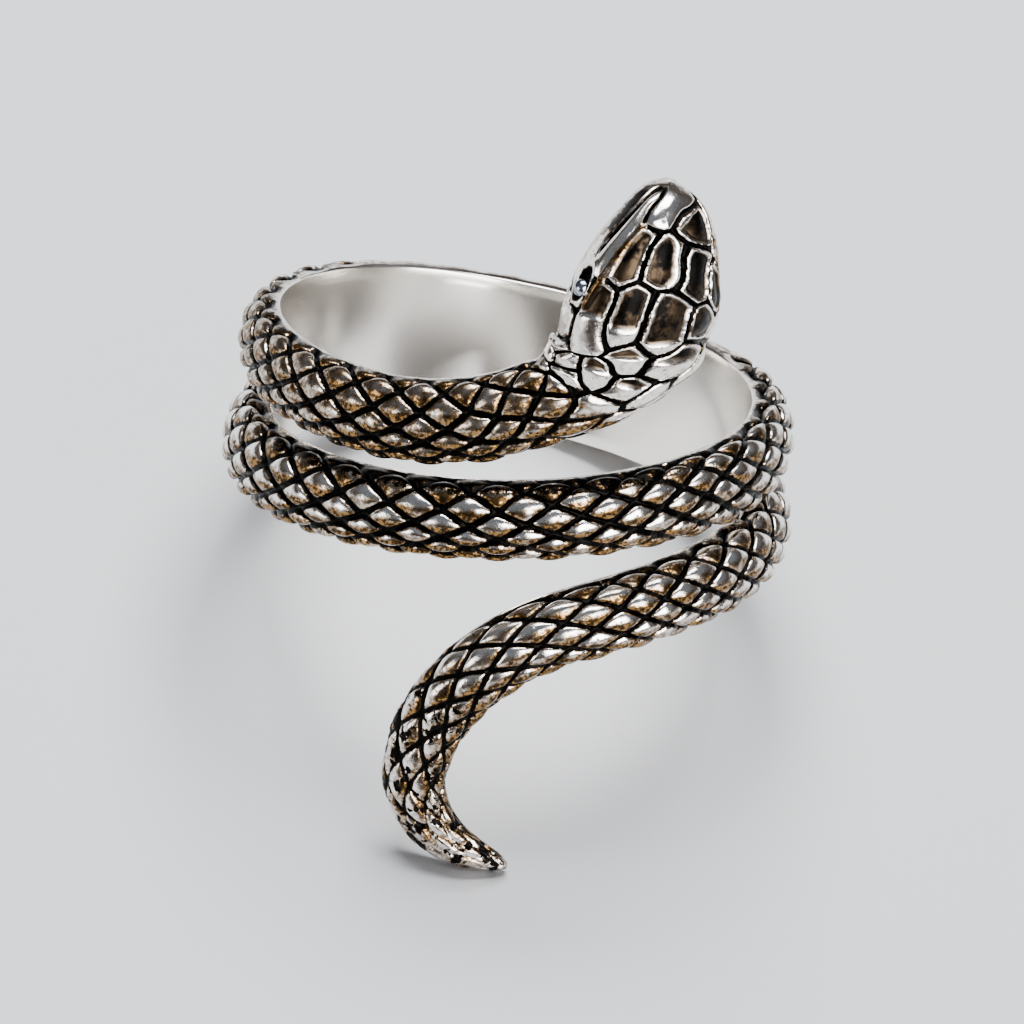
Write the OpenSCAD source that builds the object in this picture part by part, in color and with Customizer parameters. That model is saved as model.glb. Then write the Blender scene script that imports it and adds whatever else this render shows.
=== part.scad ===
// Snake wrap ring: one cast silver snake in two and a half turns about the finger.
// The head rises at the front of the first turn and the tail curls down below the second.
// Millimetres, Z up, front toward -Y. The ring stands as it rests on a table, leaning back
// on its tail, with the origin on the table under the middle of its box.

/* [Bore] */
// Inside diameter, about US size 7 1/2
bore_d = 17.7; // [17.4:0.1:18.1]
// How far the inside eases away from the finger beyond the snout and the tip of the tail
flare = 0.1; // [0.06:0.02:0.14]

/* [Body] */
// Width of the body band at mid length
band_w = 2.95; // [2.7:0.05:3]
// Thickness of the body over the finger, at the top of its scales
band_t = 1.5; // [1.35:0.05:1.8]
// Height of the upright edge where a scaled side meets the smooth inside
edge_h = 0.35; // [0.25:0.05:0.5]
// Gap left between one turn and the next
turn_gap = 0.2; // [0.15:0.05:0.5]
// Rounding of the inside corners, as a flat
corner = 0.12; // [0.08:0.02:0.16]

/* [Head] */
// Length of the head, from the snout to the nape
head_l = 7; // [6.6:0.1:7.4]
// Width of the head at the jaws
head_w = 5.3; // [4.9:0.1:5.6]
// Thickness of the head over the finger
head_t = 2.65; // [2.4:0.05:3]
// How far the snout stands above the start of the first turn
head_rise = 9.5; // [9.2:0.1:9.9]

/* [Tail] */
// How far the tip of the tail hangs below the end of the second turn
tail_drop = 10.8; // [10.4:0.1:11.2]

/* [Relief] */
// Depth of the grooves between the body scales
scale_groove = 0.2; // [0.1:0.02:0.26]
// Depth of the grooves between the head plates
plate_groove = 0.16; // [0.08:0.02:0.24]
// How far the middle of a hollow plate lies below its rim
plate_sink = 0.08; // [0.04:0.02:0.14]
// Width of the bevel from a plate down to its groove
plate_bevel = 0.27; // [0.2:0.01:0.34]
// Share of the groove depth that is left where the grooves run out at the two edges
edge_share = 0.4; // [0.2:0.05:0.9]

/* [Eyes] */
// Diameter of an eye bead
eye_d = 0.7; // [0.5:0.02:0.7]
// Clearance of a bead in its socket
eye_gap = 0.04; // [0.02:0.01:0.08]
// How far the middle of a bead lies under the face of the head
eye_sink = 0.12; // [0.08:0.02:0.2]

/* [Seam] */
// How far the solder that joins the two turns behind laps onto each
solder_lap = 0.25; // [0.2:0.05:0.4]
// Thickness of the solder over the finger
solder_t = 0.35; // [0.3:0.05:0.5]

/* [Rest] */
// Lean of the ring back on its tail, in degrees
lean_back = 30.5; // [26:0.1:34]
// Lean of the ring to its left, in degrees
lean_left = -5; // [-8:0.1:2]

/* [Hidden] */

bore_r = bore_d / 2;
// Radius at which lengths along the snake are laid out
lay_r = bore_r + 0.3 * band_t;
// Fall of the snake in one turn of a plain coil
pitch = band_w + turn_gap;
// How far the uncut inside lies under the bore
stock = 0.3;

// Turn, in degrees left of the front, at which the coil starts and ends
coil_start = 45;
coil_end = 665;
// Height of the coil's start over the middle of the ring
start_z = 0.5;

// Neck and head, from the snout: back from the coil's start and up, as shares of
// head_rise, and the skew of the section in degrees
NECK = [
    [1.335, 1.02, 0],
    [1.29, 0.85, 0],
    [1.245, 0.67, 0],
    [1.218, 0.51, -5],
    [1.197, 0.385, -18],
    [1.117, 0.275, -28],
    [1, 0.193, -26],
    [0.86, 0.138, -16],
    [0.72, 0.08, -7],
    [0.56, 0.035, -2],
    [0.38, 0.005, 0],
    [0.19, -0.008, 0],
];
// Coil: turn in degrees, fall in pitches
COIL = [
    [45, 0.03], [90, 0.06], [135, 0.22], [180, 0.52],
    [225, 0.72], [270, 0.75], [315, 0.83], [360, 1.02],
    [405, 1.19], [450, 1.32], [495, 1.28], [540, 1.49],
    [585, 1.68], [630, 1.83], [665, 1.97],
];
// Tail, from the coil's end: on round and down, as shares of tail_drop
TAIL = [
    [0.16, 0.015], [0.32, 0.04], [0.49, 0.075], [0.66, 0.13], [0.82, 0.235],
    [0.95, 0.385], [1.03, 0.56], [1.035, 0.74], [0.92, 0.895], [0.7, 0.99],
];

// Head sections: place as a share of head_l, width as a share of head_w, thickness and
// edge as shares of head_t, then fullness across and fullness up (smaller is squarer)
HEAD_SECTIONS = [
    [0, 0.05, 0.2, 0.14, 0.7, 0.8],
    [0.015, 0.18, 0.36, 0.15, 0.7, 0.78],
    [0.04, 0.34, 0.5, 0.16, 0.72, 0.74],
    [0.1, 0.48, 0.64, 0.18, 0.74, 0.72],
    [0.18, 0.6, 0.76, 0.2, 0.76, 0.7],
    [0.28, 0.73, 0.86, 0.22, 0.78, 0.68],
    [0.4, 0.86, 0.94, 0.22, 0.8, 0.68],
    [0.52, 0.96, 0.98, 0.22, 0.83, 0.68],
    [0.65, 1.03, 1, 0.2, 0.86, 0.7],
    [0.78, 1.06, 0.97, 0.19, 0.9, 0.75],
    [0.92, 1.08, 0.89, 0.18, 0.92, 0.8],
    [1.08, 0.9, 0.79, 0.16, 0.95, 0.85],
    [1.25, 0.69, 0.69, 0.15, 0.98, 0.88],
];
// Body sections: place as a share of the whole length, width and thickness as shares
// of band_w and band_t, edge as a share of edge_h
BODY_SECTIONS = [
    [0.072, 1.12, 1.1, 1],
    [0.085, 1.06, 1.02, 1],
    [0.1, 1.05, 0.97, 1],
    [0.16, 1, 0.92, 1],
    [0.28, 0.98, 0.9, 1],
    [0.42, 0.99, 1, 1],
    [0.55, 1, 1, 1],
    [0.68, 0.99, 1.06, 1],
    [0.8, 0.95, 1.14, 1],
    [0.88, 0.94, 1.12, 1],
    [0.93, 0.93, 1, 0.93],
    [0.955, 0.88, 0.9, 0.88],
    [0.972, 0.74, 0.78, 0.74],
    [0.985, 0.5, 0.58, 0.5],
    [0.993, 0.3, 0.38, 0.3],
    [1, 0.06, 0.16, 0.1],
];

// Body scales: count of half scales from the nape, place as a share of the whole length
SCALE_MARKS = [
    [0, 0.0616], [1, 0.07], [16, 0.1666], [52, 0.4185], [55, 0.4405],
    [65, 0.5076], [113, 0.8265], [120, 0.8705], [123, 0.8877], [137, 0.983],
];
half_scales = 137;
// Rows of scales, as shares of the way round the section from its upper edge
ROWS = [0, 0.17, 0.345, 0.485, 0.6, 0.7, 0.79, 0.885, 1];
// Slide of the rows round the body: place as a share of the whole length, power on the row
ROW_SLIDE = [
    [0.058, 1.72], [0.07, 1.45], [0.077, 1.3], [0.083, 1.1], [0.09, 0.92], [0.14, 0.9],
    [0.17, 1], [0.4, 1.25], [0.43, 1.3], [0.443, 1.63], [0.46, 1.6], [0.48, 1.25], [0.5, 0.97],
    [0.56, 0.95], [0.83, 1], [0.86, 1.2], [0.89, 1.5], [0.95, 1.3],
];
// Wear of the scales toward the tip: place as a share of the whole length, share of depth
WEAR = [[0, 1], [0.9, 1], [0.94, 0.7], [0.983, 0.4]];

// Head plates: both ends of each plate's middle line, as place in shares of head_l and
// way round from the upper edge, then how hollow it is
PLATES = [
    [0.15, 0.34, 0.06, 0.46, 0],       // snout cap
    [0.15, 0.6, 0.2, 0.6, 0.8],        // beside the snout
    [0.32, 0.445, 0.42, 0.455, 1],     // front middle
    [0.29, 0.275, 0.44, 0.29, 1],      // brow, left
    [0.33, 0.58, 0.48, 0.6, 1],        // brow, right
    [0.575, 0.385, 0.7, 0.37, 1],      // crown, left
    [0.59, 0.515, 0.79, 0.525, 1],     // crown, right
    [0.6, 0.235, 0.83, 0.235, 0.8],    // temple, left
    [0.65, 0.67, 0.76, 0.68, 0.7],     // temple, right
    [0.87, 0.425, 0.94, 0.462, 0.2],   // nape
    [0.93, 0.555, 0.885, 0.65, 0.1],
    [0.99, 0.35, 1.085, 0.405, 0.2],
    [1.05, 0.52, 1.1, 0.545, 0.1],
    [1.11, 0.26, 1.2, 0.32, 0.4],
    [0.86, 0.08, 0.94, 0.13, 0],
    [1, 0.22, 1.05, 0.25, 0],
    [0.99, 0.056, 1.06, 0.08, 0],
    [1.09, 0.7, 1.09, 0.71, 0],
    [1.08, 0.87, 1.1, 0.87, 0],
    [0.95, 0.8, 0.98, 0.8, 0],
    [0.1, 0.18, 0.43, 0.145, 0],       // before the eye, left
    [0.1, 0.82, 0.43, 0.855, 0],       // before the eye, right
    [0.42, 0.75, 0.55, 0.77, 0.6],
    [0.58, 0.08, 0.59, 0.08, 0],       // round the eye
    [0.58, 0.92, 0.59, 0.92, 0],
    [0.72, 0.86, 0.78, 0.85, 0],
    [0.06, 0.02, 0.38, 0, 0],          // lip, left
    [0.7, 0.03, 0.73, 0.03, 0.3],
    [0.84, 0.03, 0.86, 0.03, 0.3],
    [0.06, 0.98, 0.38, 1, 0],          // lip, right
    [0.72, 0.97, 0.76, 0.97, 0.3],
    [0.88, 0.96, 0.92, 0.96, 0.3],
];

// Eyes: place as a share of head_l, way round from the nearer edge
eye_place = 0.584;
eye_round = 0.08;
// Turns between which solder joins the first and second turn behind
solder_from = 100;
solder_to = 290;

// Cells round the head, and rings of them along it
head_cells = 46;
head_rings = 45;
// Length of the plain snout before its plates are cut
plain_snout = 0.5;
// Steps between two points of a route, and how far each way its direction is taken
route_steps = 16;
feel = 0.2;
// Metal left over the bore under the deepest cut
least_t = 0.1;

function smooth(t) = let (c = min(max(t, 0), 1)) c * c * (3 - 2 * c);
function sign_pow(v, p) = sign(v) * pow(abs(v), p);

// The route: distance round at lay_r, height, skew
function round_mm(turn) = turn * PI / 180 * lay_r;
start_u = round_mm(coil_start);
end_u = round_mm(coil_end);
end_z = start_z - COIL[len(COIL) - 1][1] * pitch;
knots = concat(
    [for (k = NECK) [start_u - k[0] * head_rise, start_z + k[1] * head_rise, k[2]]],
    [for (k = COIL) [round_mm(k[0]), start_z - k[1] * pitch, 0]],
    [for (k = TAIL) [end_u + k[0] * tail_drop, end_z - k[1] * tail_drop, 0]]
);
last = len(knots) - 1;
ends = concat([2 * knots[0] - knots[1]], knots, [2 * knots[last] - knots[last - 1]]);
function bend(a, b, c, d, t) =
    0.5 * (2 * b + (c - a) * t + (2 * a - 5 * b + 4 * c - d) * t * t
    + (3 * b - a - 3 * c + d) * t * t * t);
route = concat(
    [for (i = [1:last]) for (k = [0:route_steps - 1])
        bend(ends[i - 1], ends[i], ends[i + 1], ends[i + 2], k / route_steps)],
    [knots[last]]
);
function hop(i) = norm([route[i][0] - route[i - 1][0], route[i][1] - route[i - 1][1]]);
run = [for (i = 0, s = 0; i < len(route); i = i + 1, s = i < len(route) ? s + hop(i) : s) s];
length = run[len(run) - 1];
route_u = [for (i = [0:len(route) - 1]) [run[i], route[i][0]]];
route_z = [for (i = [0:len(route) - 1]) [run[i], route[i][1]]];
route_skew = [for (i = [0:len(route) - 1]) [run[i], route[i][2]]];

// The section at each place: width, thickness, edge, fullness across, fullness up
sections = concat(
    [for (r = HEAD_SECTIONS)
        [r[0] * head_l, r[1] * head_w, r[2] * head_t, r[3] * head_t, r[4], r[5]]],
    [for (r = BODY_SECTIONS)
        [r[0] * length, r[1] * band_w, r[2] * band_t, r[3] * edge_h, 1, 0.9]]
);
function column(table, c) = [for (r = table) [r[0], r[c]]];
width_at = column(sections, 1);
thick_at = column(sections, 2);
edge_at = column(sections, 3);
across_at = column(sections, 4);
up_at = column(sections, 5);

// A station holds all that a section needs: [u, z, side u, side z, width, thickness, edge, across, up]
function station(s) =
    let (
        a = min(s + feel, length),
        b = max(s - feel, 0),
        du = lookup(a, route_u) - lookup(b, route_u),
        dz = lookup(a, route_z) - lookup(b, route_z),
        l = norm([du, dz]),
        k = lookup(s, route_skew),
        tu = du / l,
        tz = dz / l
    )
    [
        lookup(s, route_u),
        lookup(s, route_z),
        -tz * cos(k) - tu * sin(k),
        -tz * sin(k) + tu * cos(k),
        lookup(s, width_at),
        lookup(s, thick_at),
        lookup(s, edge_at),
        lookup(s, across_at),
        lookup(s, up_at),
    ];

// A place over the bore, from the distance round, the height and the rise off the bore
function wrap(u, z, h) =
    let (turn = -90 - u / lay_r * 180 / PI)
    [(bore_r + h) * cos(turn), (bore_r + h) * sin(turn), z];
function over(st, x, h) = wrap(st[0] + st[2] * x, st[1] + st[3] * x, h);
// A point of the skin at a share of the way round, sunk by d
function skin(st, share, d) =
    let (
        c = cos(share * 180),
        n = abs(sin(share * 180)),
        x = sign_pow(c, st[7]) * st[4] / 2,
        h = st[6] + (st[5] - st[6]) * pow(n, st[8])
    )
    over(st, x - d * c, max(h - d * n, least_t));
// The two points of the uncut inside
function inside(st) =
    let (x = max(st[4] / 2 - corner, st[4] * 0.3))
    [over(st, -x, -stock), over(st, x, -stock)];

// Body scales: places of the half scales, and the rows there
mark_place = [for (m = SCALE_MARKS) [m[0], m[1] * length]];
body_s = [for (i = [0:half_scales]) lookup(i, mark_place)];
function row_share(j, s) = pow(ROWS[j], lookup(s / length, ROW_SLIDE));
rows = len(ROWS) - 1;
function depth(s) = scale_groove * lookup(s / length, WEAR);
function row_depth(j, s) = depth(s) * (j == 0 || j == rows ? edge_share : 1);
body_st = [for (s = body_s) station(s)];
function is_scale(i, j) = (i + j) % 2 == 1;
// The low corner or the top of a scale
body_points = [
    for (i = [0:half_scales])
        for (p = concat(
            [for (j = [0:rows])
                skin(body_st[i], row_share(j, body_s[i]), is_scale(i, j) ? 0 : row_depth(j, body_s[i]))],
            inside(body_st[i])
        )) p
];
body_ring = rows + 3;
// The shoulders of a scale, this share of the way out to its corners
shoulder = 0.62;
shoulder_fall = 0.18;
scales = [
    for (i = [1:half_scales - 1]) for (j = [1:rows - 1])
        if (is_scale(i, j)) [i, j]
];
function mix(a, b, t) = a + (b - a) * t;
shoulder_points = [
    for (q = scales)
        let (
            i = q[0],
            j = q[1],
            s = body_s[i],
            before = mix(s, body_s[i - 1], shoulder),
            after = mix(s, body_s[i + 1], shoulder),
            d = depth(s) * shoulder_fall
        )
        for (p = [
            skin(station(before), row_share(j, before), d),
            skin(body_st[i], mix(row_share(j, s), row_share(j + 1, s), shoulder), d),
            skin(station(after), row_share(j, after), d),
            skin(body_st[i], mix(row_share(j, s), row_share(j - 1, s), shoulder), d),
        ]) p
];

// Head plates: distance to the nearest and the next plate's middle line
nape_s = body_s[0];
plate_list = concat(
    [for (p = PLATES) [p[0] * head_l, p[1], p[2] * head_l, p[3], p[4]]],
    [for (j = [0:rows]) if (is_scale(0, j))
        [nape_s, row_share(j, nape_s), nape_s, row_share(j, nape_s), 0]]
);
function girth(s) = 0.75 * lookup(s, width_at) + 1.6 * (lookup(s, thick_at) - lookup(s, edge_at));
function to_plate(s, a, g, p) =
    let (
        v = [p[2] - p[0], (p[3] - p[1]) * g],
        w = [s - p[0], (a - p[1]) * g],
        t = v * v < 0.0001 ? 0 : min(max(v * w / (v * v), 0), 1)
    )
    norm(w - v * t);
function plate_depth(s, a) =
    let (
        g = girth(s),
        all = [for (p = plate_list) to_plate(s, a, g, p)],
        near = min(all),
        next = min([for (d = all) if (d > near) d]),
        hollow = [for (k = [0:len(all) - 1]) if (all[k] == near) plate_list[k][4]][0],
        rim = (next - near) / 2
    )
    plate_groove * (1 - smooth(rim / plate_bevel))
    + plate_sink * hollow * smooth(rim / plate_bevel - 0.9);
head_s = [for (i = [0:head_rings - 1]) nape_s * i / head_rings];
head_ring = head_cells + 3;
head_points = [
    for (s = head_s)
        let (st = station(s), fade = smooth(s / plain_snout))
        for (p = concat(
            [for (c = [0:head_cells])
                skin(st, c / head_cells, fade * plate_depth(s, c / head_cells))],
            inside(st)
        )) p
];

// The smooth tip of the tail
tip_s = [for (t = [0.35, 0.65, 0.88, 1]) mix(body_s[half_scales], length, t)];
tip_points = [
    for (s = tip_s)
        let (st = station(s))
        for (p = concat([for (j = [0:rows]) skin(st, row_share(j, s), 0)], inside(st))) p
];

// Where each run of points starts in the one list
body_at = len(head_points);
shoulder_at = body_at + len(body_points);
tip_at = shoulder_at + len(shoulder_points);
end_at = tip_at + len(tip_points);
function body_n(i, j) = body_at + i * body_ring + j;
function tip_n(i, j) = i < 0 ? body_n(half_scales, j) : tip_at + i * body_ring + j;

// Faces between two equal rings
function between(a, b, n, from) = [
    for (j = [from:n - 1])
        let (k = (j + 1) % n)
        for (f = [[a + j, a + k, b + k], [a + j, b + k, b + j]]) f
];
// The row of the body nearest to a cell of the head
nape_rows = [for (j = [0:rows]) row_share(j, nape_s)];
function near_row(c) =
    let (
        share = c / head_cells,
        gaps = [for (r = nape_rows) abs(r - share)],
        least = min(gaps)
    )
    c == 0 ? 0 : c == head_cells ? rows
    : min([for (j = [0:rows]) if (gaps[j] == least) j]);
head_last = (head_rings - 1) * head_ring;
nape_faces = concat(
    [for (c = [0:head_cells - 1])
        let (a = near_row(c), b = near_row(c + 1))
        for (f = concat(
            [[head_last + c, head_last + c + 1, body_n(0, a)]],
            [for (j = [a:1:b - 1]) [head_last + c + 1, body_n(0, j + 1), body_n(0, j)]]
        )) f],
    [for (j = [0:2])
        let (
            a = head_last + head_cells + j,
            b = j == 2 ? head_last : a + 1,
            c = body_n(0, rows + j),
            d = j == 2 ? body_n(0, 0) : c + 1
        )
        for (f = [[a, b, d], [a, d, c]]) f]
);
head_faces = [
    for (i = [0:1:head_rings - 2])
        for (f = between(i * head_ring, (i + 1) * head_ring, head_ring, 0)) f
];
// One scale: eight faces down to the grooves and four up to its top
scale_faces = [
    for (q = [0:len(scales) - 1])
        let (
            i = scales[q][0],
            j = scales[q][1],
            top = body_n(i, j),
            low = [body_n(i - 1, j), body_n(i, j + 1), body_n(i + 1, j), body_n(i, j - 1)],
            high = [for (k = [0:3]) shoulder_at + q * 4 + k]
        )
        for (k = [0:3])
            let (m = (k + 1) % 4)
            for (f = [
                [low[k], low[m], high[m]],
                [low[k], high[m], high[k]],
                [high[k], high[m], top],
            ]) f
];
// Half scales along the two edges of the body, and across its two ends
edge_faces = [
    for (i = [1:half_scales - 1])
        for (f = concat(
            is_scale(i, 0) ? [
                [body_n(i - 1, 0), body_n(i, 1), body_n(i, 0)],
                [body_n(i, 0), body_n(i, 1), body_n(i + 1, 0)],
            ] : [],
            is_scale(i, rows) ? [
                [body_n(i - 1, rows), body_n(i, rows), body_n(i, rows - 1)],
                [body_n(i, rows), body_n(i + 1, rows), body_n(i, rows - 1)],
            ] : []
        )) f
];
function end_faces(i, step) = [
    for (j = [0:rows])
        if (is_scale(i, j))
            for (k = [-1, 1])
                if (j + k >= 0 && j + k <= rows)
                    step * k > 0
                    ? [body_n(i, j), body_n(i, j + k), body_n(i + step, j)]
                    : [body_n(i, j), body_n(i + step, j), body_n(i, j + k)]
];
inner_faces = [
    for (i = [0:half_scales - 1])
        for (f = between(body_n(i, 0), body_n(i + 1, 0), body_ring, rows)) f
];
tip_faces = [
    for (i = [-1:len(tip_s) - 2])
        for (f = between(tip_n(i, 0), tip_n(i + 1, 0), body_ring, 0)) f
];
// The snout and the very tip are closed with a fan about a middle point
snout_st = station(0);
tip_st = station(length);
middle_points = [over(snout_st, 0, snout_st[5] / 3), over(tip_st, 0, tip_st[5] / 3)];
cap_faces = concat(
    [for (c = [0:head_ring - 1]) [(c + 1) % head_ring, c, end_at]],
    [for (c = [0:body_ring - 1])
        [tip_n(len(tip_s) - 1, c), tip_n(len(tip_s) - 1, (c + 1) % body_ring), end_at + 1]]
);

all_points = concat(head_points, body_points, shoulder_points, tip_points, middle_points);
all_faces = concat(
    head_faces, nape_faces, scale_faces, edge_faces, end_faces(0, 1),
    end_faces(half_scales, -1), inner_faces, tip_faces, cap_faces
);

// The solder behind: a thin strip along the seam between the turns
function seam_z(turn) =
    start_z - pitch * (lookup(turn, COIL) + lookup(turn + 360, COIL)) / 2;
function seam_gap(turn) =
    pitch * (lookup(turn + 360, COIL) - lookup(turn, COIL)) - band_w;
solder_steps = 28;
// A corner of the solder, above the seam for a side of 1 and below it for -1
function solder_place(turn, h, side) =
    let (reach = seam_gap(turn) / 2 + scale_groove + solder_lap)
    [(bore_r + h) * cos(-90 - turn), (bore_r + h) * sin(-90 - turn), seam_z(turn) + side * reach];
solder_points = [
    for (i = [0:solder_steps])
        let (turn = mix(solder_from, solder_to, i / solder_steps))
        for (p = [
            solder_place(turn, solder_t, 1),
            solder_place(turn, solder_t, -1),
            solder_place(turn, -stock, -1),
            solder_place(turn, -stock, 1),
        ]) p
];
solder_faces = concat(
    [for (i = [0:solder_steps - 1]) for (f = between(i * 4, i * 4 + 4, 4, 0)) f],
    [[3, 2, 1, 0], [for (k = [0:3]) solder_steps * 4 + k]]
);

// Eyes: places of the two beads
function eye_at(share) = skin(station(eye_place * head_l), share, eye_sink);

// The finger's room: a plain bore through the turns, flared past the head and the tail
flare_top = start_z + 0.6 * band_w;
flare_low = end_z - 0.6 * band_w;
module finger() {
    rotate_extrude($fn = 180)
        polygon([
            [0, flare_low - tail_drop],
            [bore_r + flare, flare_low - tail_drop],
            [bore_r, flare_low],
            [bore_r, flare_top],
            [bore_r + flare, flare_top + head_rise],
            [0, flare_top + head_rise],
        ]);
}

// From the ring's own axis to the table
function lean(p) =
    let (
        a = [p[0], p[1] * cos(lean_back) + p[2] * sin(lean_back),
            -p[1] * sin(lean_back) + p[2] * cos(lean_back)]
    )
    [a[0] * cos(lean_left) + a[2] * sin(lean_left), a[1],
        -a[0] * sin(lean_left) + a[2] * cos(lean_left)];
// The foot of each side stands on the bore, and the tail rests on it
foot_points = [
    for (st = body_st) for (k = [-1, 1])
        over(st, k * (st[4] / 2 - corner * st[6] / (st[6] + stock)), 0)
];
skin_points = concat(
    [for (i = [0:len(head_points) - 1]) if (i % head_ring <= head_cells) head_points[i]],
    [for (i = [0:len(body_points) - 1]) if (i % body_ring <= rows) body_points[i]],
    [for (i = [0:len(tip_points) - 1]) if (i % body_ring <= rows) tip_points[i]],
    foot_points
);
leant = [for (p = skin_points) lean(p)];
low = [for (k = [0:2]) min([for (p = leant) p[k]])];
high = [for (k = [0:2]) max([for (p = leant) p[k]])];

module on_table() {
    translate([-(low[0] + high[0]) / 2, -(low[1] + high[1]) / 2, -low[2]])
        rotate([0, lean_left, 0])
            rotate([-lean_back, 0, 0])
                children();
}

module bead(share, clearance) {
    translate(eye_at(share))
        sphere(d = eye_d + 2 * clearance, $fn = 48);
}

module snake_band() {
    color("silver")
        on_table()
            difference() {
                union() {
                    polyhedron(points = all_points, faces = all_faces, convexity = 12);
                    polyhedron(points = solder_points, faces = solder_faces, convexity = 4);
                }
                finger();
                bead(eye_round, eye_gap);
                bead(1 - eye_round, eye_gap);
            }
}

module eye_left() {
    color("lightsteelblue")
        on_table()
            bead(eye_round, 0);
}

module eye_right() {
    color("lightsteelblue")
        on_table()
            bead(1 - eye_round, 0);
}

snake_band();
eye_left();
eye_right();
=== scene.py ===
import math

import bpy
import numpy as np
from mathutils import Matrix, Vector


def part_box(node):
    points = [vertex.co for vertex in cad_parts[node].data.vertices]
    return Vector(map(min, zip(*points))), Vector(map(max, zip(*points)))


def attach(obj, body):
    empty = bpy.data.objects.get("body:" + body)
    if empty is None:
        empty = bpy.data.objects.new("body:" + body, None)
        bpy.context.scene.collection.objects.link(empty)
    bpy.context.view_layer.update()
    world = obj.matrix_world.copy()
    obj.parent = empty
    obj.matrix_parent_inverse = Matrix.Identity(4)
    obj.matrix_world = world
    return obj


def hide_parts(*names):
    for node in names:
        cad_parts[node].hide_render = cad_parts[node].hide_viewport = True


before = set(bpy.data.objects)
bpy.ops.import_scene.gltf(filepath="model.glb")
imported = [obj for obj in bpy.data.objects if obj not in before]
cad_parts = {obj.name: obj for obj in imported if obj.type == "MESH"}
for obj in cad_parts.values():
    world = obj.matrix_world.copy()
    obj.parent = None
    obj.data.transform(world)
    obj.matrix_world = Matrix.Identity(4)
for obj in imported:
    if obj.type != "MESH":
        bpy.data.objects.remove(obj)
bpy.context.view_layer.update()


# The head and the first turn in front.
# A snake cast in sterling silver by lost wax. The head lies up the back of the finger. Its
# plates, mouth and brows are cut in the wax, and the metal is blackened and polished back.

# Lengths are millimetres round the ring's own axis, front to -Y
BORE_R = 8.85
BAND_W = 2.95
BAND_T = 1.5
EDGE_H = 0.35
TURN_GAP = 0.2
CORNER = 0.12
STOCK = 0.3
HEAD_L = 7.0
HEAD_W = 5.3
HEAD_T = 2.65
HEAD_RISE = 9.5
TAIL_DROP = 10.8
LEAN_BACK = math.radians(30.5)
LEAN_LEFT = math.radians(-5)
LAY_R = BORE_R + 0.3 * BAND_T
PITCH = BAND_W + TURN_GAP
START_Z = 0.5

# Neck from the snout: back and up in shares of the head's rise, skew in degrees
NECK = [
    (1.335, 1.02, 0), (1.29, 0.85, 0), (1.245, 0.67, 0), (1.218, 0.51, -5),
    (1.197, 0.385, -18), (1.117, 0.275, -28), (1, 0.193, -26), (0.86, 0.138, -16),
    (0.72, 0.08, -7), (0.56, 0.035, -2), (0.38, 0.005, 0), (0.19, -0.008, 0),
]
# Coil: turn in degrees, fall in pitches
COIL = [
    (45, 0.03), (90, 0.06), (135, 0.22), (180, 0.52), (225, 0.72), (270, 0.75),
    (315, 0.83), (360, 1.02), (405, 1.19), (450, 1.32), (495, 1.28), (540, 1.49),
    (585, 1.68), (630, 1.83), (665, 1.97),
]
COIL_START, COIL_END = COIL[0][0], COIL[-1][0]
END_Z = START_Z - COIL[-1][1] * PITCH
# Tail: on round and down in shares of its drop
TAIL = [
    (0.16, 0.015), (0.32, 0.04), (0.49, 0.075), (0.66, 0.13), (0.82, 0.235),
    (0.95, 0.385), (1.03, 0.56), (1.035, 0.74), (0.92, 0.893), (0.7, 0.984),
]
# Sections of the head: place, width, thickness, edge, fullness across and up
HEAD_SECTIONS = [
    (0, 0.05, 0.2, 0.14, 0.7, 0.8), (0.015, 0.18, 0.36, 0.15, 0.7, 0.78),
    (0.04, 0.34, 0.5, 0.16, 0.72, 0.74), (0.1, 0.48, 0.64, 0.18, 0.74, 0.72),
    (0.18, 0.6, 0.76, 0.2, 0.76, 0.7), (0.28, 0.73, 0.86, 0.22, 0.78, 0.68),
    (0.4, 0.86, 0.94, 0.22, 0.8, 0.68), (0.52, 0.96, 0.98, 0.22, 0.83, 0.68),
    (0.65, 1.03, 1, 0.2, 0.86, 0.7), (0.78, 1.06, 0.97, 0.19, 0.9, 0.75),
    (0.92, 1.08, 0.89, 0.18, 0.92, 0.8), (1.08, 0.9, 0.79, 0.16, 0.95, 0.85),
    (1.25, 0.69, 0.69, 0.15, 0.98, 0.88),
]
# Sections of the body: place in shares of the length, width, thickness, edge
BODY_SECTIONS = [
    (0.072, 1.12, 1.1, 1), (0.085, 1.06, 1.02, 1), (0.1, 1.05, 0.97, 1), (0.16, 1, 0.92, 1),
    (0.28, 0.98, 0.9, 1), (0.42, 0.99, 1, 1), (0.55, 1, 1, 1), (0.68, 0.99, 1.06, 1),
    (0.8, 0.95, 1.14, 1), (0.88, 0.94, 1.12, 1), (0.93, 0.93, 1, 0.93),
    (0.955, 0.88, 0.9, 0.88), (0.972, 0.74, 0.78, 0.74), (0.985, 0.54, 0.6, 0.5),
    (0.993, 0.39, 0.46, 0.34), (0.998, 0.24, 0.32, 0.2), (1, 0.08, 0.18, 0.1),
]
BODY_ACROSS, BODY_UP = 1, 0.9
# Scales: half scales from the nape against the place along the snake
SCALE_MARKS = [
    (0, 0.0616), (1, 0.07), (16, 0.1666), (52, 0.4185), (55, 0.4405), (65, 0.5076),
    (113, 0.8265), (120, 0.8705), (123, 0.8877), (137, 0.983), (140, 1.003),
]
NAPE_PACE = 0.0084
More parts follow.
